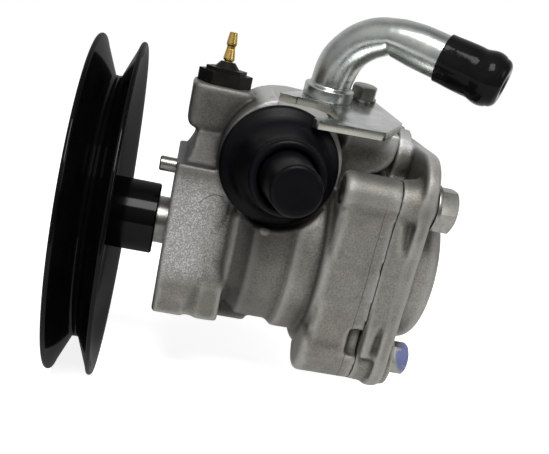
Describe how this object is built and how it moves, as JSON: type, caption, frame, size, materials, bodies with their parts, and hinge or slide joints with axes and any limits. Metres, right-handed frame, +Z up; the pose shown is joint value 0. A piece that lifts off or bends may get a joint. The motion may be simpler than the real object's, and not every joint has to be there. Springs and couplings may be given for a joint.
{
  "type": "power steering pump",
  "caption": "Belt driven vane pump for power steering with a deep V pulley, cast housing, capped suction pipe, plugged pressure port and an air valve.",
  "frame": {"origin": "where the shaft axis meets the front mounting face, the centre of the mounting holes", "axes": "+X along the shaft from the pulley to the rear cover, -Y towards the plugged pressure port, +Z up through the air valve"},
  "size_m": [0.1635, 0.14, 0.1708],
  "materials": {
    "cast_aluminium": "sand cast and tumbled, dull warm grey",
    "black_paint": "gloss black paint on pressed steel",
    "zinc_steel": "zinc plated, bluish silver",
    "bright_steel": "ground steel",
    "dark_steel": "black oxide",
    "bearing_steel": "polished bearing steel",
    "brass": "turned brass",
    "bronze": "bronze bush",
    "sintered_steel": "sintered and ground",
    "spring_steel": "bare spring wire",
    "black_rubber": "moulded rubber, slightly glossy",
    "seal_rubber": "nitrile rubber",
    "black_vinyl": "dipped vinyl, glossy"
  },
  "bodies": {
    "housing": {"front_housing": "cast_aluminium", "rear_cover": "cast_aluminium", "locating_pin": "bright_steel", "bearing_snap_ring": "dark_steel", "bearing_outer_race": "bearing_steel", "oil_seal": "seal_rubber", "front_bush": "bronze", "plate_spring": "spring_steel", "front_side_plate": "sintered_steel", "cam_ring": "sintered_steel", "rear_side_plate": "sintered_steel", "dowel_pins": "bright_steel", "cover_o_ring": "seal_rubber", "rear_bush": "bronze", "upper_cover_bolts": "zinc_steel", "lower_cover_bolts": "zinc_steel", "pressure_fitting": "zinc_steel", "fitting_o_ring": "seal_rubber", "port_plug": "black_rubber", "spool_spring": "spring_steel", "suction_flange": "zinc_steel", "suction_pipe": "zinc_steel", "suction_o_ring": "seal_rubber", "flange_bolt": "zinc_steel", "pipe_cap": "black_vinyl", "air_valve_body": "dark_steel", "air_valve_nipple": "brass", "air_valve_o_ring": "seal_rubber", "air_valve_spring": "spring_steel"},
    "shaft": {"drive_shaft": "bright_steel", "pulley_hub": "black_paint", "pulley_front_disc": "black_paint", "pulley_back_disc": "black_paint", "woodruff_key": "bright_steel", "pulley_nut": "zinc_steel", "nut_washer": "zinc_steel", "bearing_inner_race": "bearing_steel", "rotor": "sintered_steel", "rotor_snap_ring": "dark_steel"},
    "cage": {"bearing_balls": "bearing_steel", "bearing_cage": "brass"},
    "vane_01": {"vane_01": "sintered_steel"},
    "vane_02": {"vane_02": "sintered_steel"},
    "vane_03": {"vane_03": "sintered_steel"},
    "vane_04": {"vane_04": "sintered_steel"},
    "vane_05": {"vane_05": "sintered_steel"},
    "vane_06": {"vane_06": "sintered_steel"},
    "vane_07": {"vane_07": "sintered_steel"},
    "vane_08": {"vane_08": "sintered_steel"},
    "vane_09": {"vane_09": "sintered_steel"},
    "vane_10": {"vane_10": "sintered_steel"},
    "flow_spool": {"flow_spool": "bright_steel"},
    "air_valve_plunger": {"air_valve_plunger": "bright_steel"}
  },
  "joints": [
    {"name": "shaft_spin", "type": "hinge", "parent": "housing", "child": "shaft", "pos_m": [0, 0, 0], "axis": [1, 0, 0], "continuous": true},
    {"name": "cage_spin", "type": "hinge", "parent": "housing", "child": "cage", "pos_m": [0.008, 0, 0], "axis": [1, 0, 0], "continuous": true},
    {"name": "vane_01_slide", "type": "slide", "parent": "shaft", "child": "vane_01", "axis": [0, 1, 0], "range_m": [-0.0013, 0]},
    {"name": "vane_02_slide", "type": "slide", "parent": "shaft", "child": "vane_02", "axis": [0, 0.809, 0.5878], "range_m": [-0.0013, 0]},
    {"name": "vane_03_slide", "type": "slide", "parent": "shaft", "child": "vane_03", "axis": [0, 0.309, 0.9511], "range_m": [-0.0013, 0]},
    {"name": "vane_04_slide", "type": "slide", "parent": "shaft", "child": "vane_04", "axis": [0, -0.309, 0.9511], "range_m": [-0.0013, 0]},
    {"name": "vane_05_slide", "type": "slide", "parent": "shaft", "child": "vane_05", "axis": [0, -0.809, 0.5878], "range_m": [-0.0013, 0]},
    {"name": "vane_06_slide", "type": "slide", "parent": "shaft", "child": "vane_06", "axis": [0, -1, 0], "range_m": [-0.0013, 0]},
    {"name": "vane_07_slide", "type": "slide", "parent": "shaft", "child": "vane_07", "axis": [0, -0.809, -0.5878], "range_m": [-0.0013, 0]},
    {"name": "vane_08_slide", "type": "slide", "parent": "shaft", "child": "vane_08", "axis": [0, -0.309, -0.9511], "range_m": [-0.0013, 0]},
    {"name": "vane_09_slide", "type": "slide", "parent": "shaft", "child": "vane_09", "axis": [0, 0.309, -0.9511], "range_m": [-0.0013, 0]},
    {"name": "vane_10_slide", "type": "slide", "parent": "shaft", "child": "vane_10", "axis": [0, 0.809, -0.5878], "range_m": [-0.0013, 0]},
    {"name": "spool_slide", "type": "slide", "parent": "housing", "child": "flow_spool", "axis": [0, 1, 0], "range_m": [0, 0.006], "stiffness_N_per_m": 1200, "springref_m": -0.004, "deforming": ["spool_spring"]},
    {"name": "plunger_slide", "type": "slide", "parent": "housing", "child": "air_valve_plunger", "axis": [0, 0, 1], "range_m": [0, 0.003], "stiffness_N_per_m": 400, "springref_m": -0.002, "deforming": ["air_valve_spring"]}
  ],
  "couplings": [
    {"joint": "cage_spin", "follows": "shaft_spin", "ratio": 0.4065},
    {"joint": "vane_06_slide", "follows": "vane_01_slide", "ratio": 1},
    {"joint": "vane_07_slide", "follows": "vane_02_slide", "ratio": 1},
    {"joint": "vane_08_slide", "follows": "vane_03_slide", "ratio": 1},
    {"joint": "vane_09_slide", "follows": "vane_04_slide", "ratio": 1},
    {"joint": "vane_10_slide", "follows": "vane_05_slide", "ratio": 1}
  ]
}
